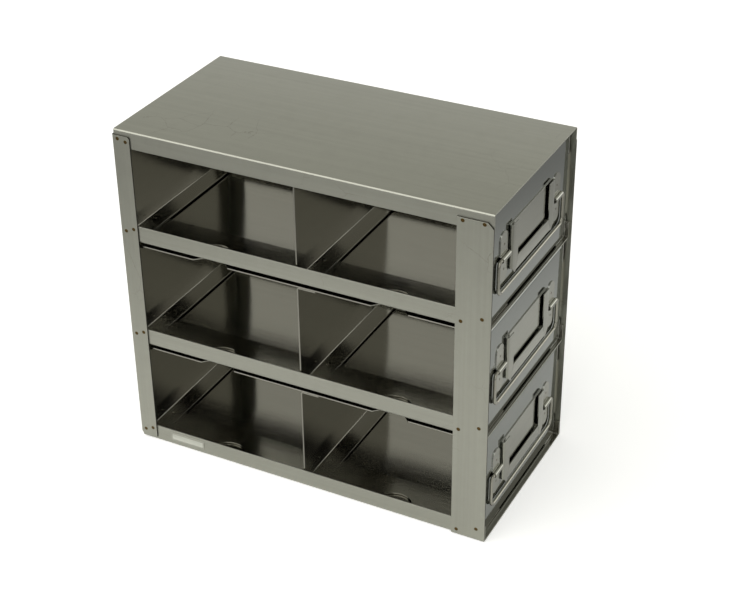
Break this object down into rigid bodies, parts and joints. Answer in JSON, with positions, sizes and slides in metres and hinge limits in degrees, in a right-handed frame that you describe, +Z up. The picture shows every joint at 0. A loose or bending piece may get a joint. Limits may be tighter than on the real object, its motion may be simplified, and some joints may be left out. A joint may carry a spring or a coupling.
{
  "type": "freezer drawer rack",
  "caption": "Upright sheet-steel freezer rack with open sides and stacked pull-out drawers, each with a label holder and a wire bail, for square storage boxes.",
  "frame": {"origin": "bottom centre of the rack, on the surface it stands on", "axes": "+Z up; -Y towards the drawer fronts; +X to the right as seen by someone facing the fronts"},
  "size_m": [0.14, 0.28, 0.2539],
  "materials": {
    "brushed_sheet": "brushed stainless sheet with fine scratches",
    "bright_sheet": "bright rolled stainless sheet, almost mirror smooth",
    "pressed_sheet": "thin pressed stainless sheet",
    "bail_wire": "drawn stainless wire",
    "bare_plate": "plain matt foil plate"
  },
  "bodies": {
    "rack": {"base_tray": "brushed_sheet", "middle_tray": "brushed_sheet", "upper_tray": "brushed_sheet", "top_cover": "brushed_sheet", "front_post_left": "brushed_sheet", "front_post_right": "brushed_sheet", "rear_post_left": "brushed_sheet", "rear_post_right": "brushed_sheet", "name_plate": "bare_plate"},
    "lower_drawer": {"lower_floor_strip": "bright_sheet", "lower_floor_angle": "bright_sheet", "lower_drawer_roof": "bright_sheet", "lower_drawer_front": "bright_sheet", "lower_drawer_rear_wall": "bright_sheet", "lower_drawer_divider": "bright_sheet", "lower_label_holder": "pressed_sheet", "lower_clip_left": "pressed_sheet", "lower_clip_right": "pressed_sheet"},
    "lower_bail": {"lower_bail": "bail_wire"},
    "middle_drawer": {"middle_floor_strip": "bright_sheet", "middle_floor_angle": "bright_sheet", "middle_drawer_roof": "bright_sheet", "middle_drawer_front": "bright_sheet", "middle_drawer_rear_wall": "bright_sheet", "middle_drawer_divider": "bright_sheet", "middle_label_holder": "pressed_sheet", "middle_clip_left": "pressed_sheet", "middle_clip_right": "pressed_sheet"},
    "middle_bail": {"middle_bail": "bail_wire"},
    "upper_drawer": {"upper_floor_strip": "bright_sheet", "upper_floor_angle": "bright_sheet", "upper_drawer_roof": "bright_sheet", "upper_drawer_front": "bright_sheet", "upper_drawer_rear_wall": "bright_sheet", "upper_drawer_divider": "bright_sheet", "upper_label_holder": "pressed_sheet", "upper_clip_left": "pressed_sheet", "upper_clip_right": "pressed_sheet"},
    "upper_bail": {"upper_bail": "bail_wire"}
  },
  "joints": [
    {"name": "lower_drawer_slide", "type": "slide", "parent": "rack", "child": "lower_drawer", "axis": [0, -1, 0], "range_m": [0, 0.2]},
    {"name": "lower_bail_hinge", "type": "hinge", "parent": "lower_drawer", "child": "lower_bail", "pos_m": [0, -0.13755, 0.0433], "axis": [-1, 0, 0], "range_deg": [0, 180]},
    {"name": "middle_drawer_slide", "type": "slide", "parent": "rack", "child": "middle_drawer", "axis": [0, -1, 0], "range_m": [0, 0.2]},
    {"name": "middle_bail_hinge", "type": "hinge", "parent": "middle_drawer", "child": "middle_bail", "pos_m": [0, -0.13755, 0.1276], "axis": [-1, 0, 0], "range_deg": [0, 180]},
    {"name": "upper_drawer_slide", "type": "slide", "parent": "rack", "child": "upper_drawer", "axis": [0, -1, 0], "range_m": [0, 0.2]},
    {"name": "upper_bail_hinge", "type": "hinge", "parent": "upper_drawer", "child": "upper_bail", "pos_m": [0, -0.13755, 0.2119], "axis": [-1, 0, 0], "range_deg": [0, 180]}
  ]
}
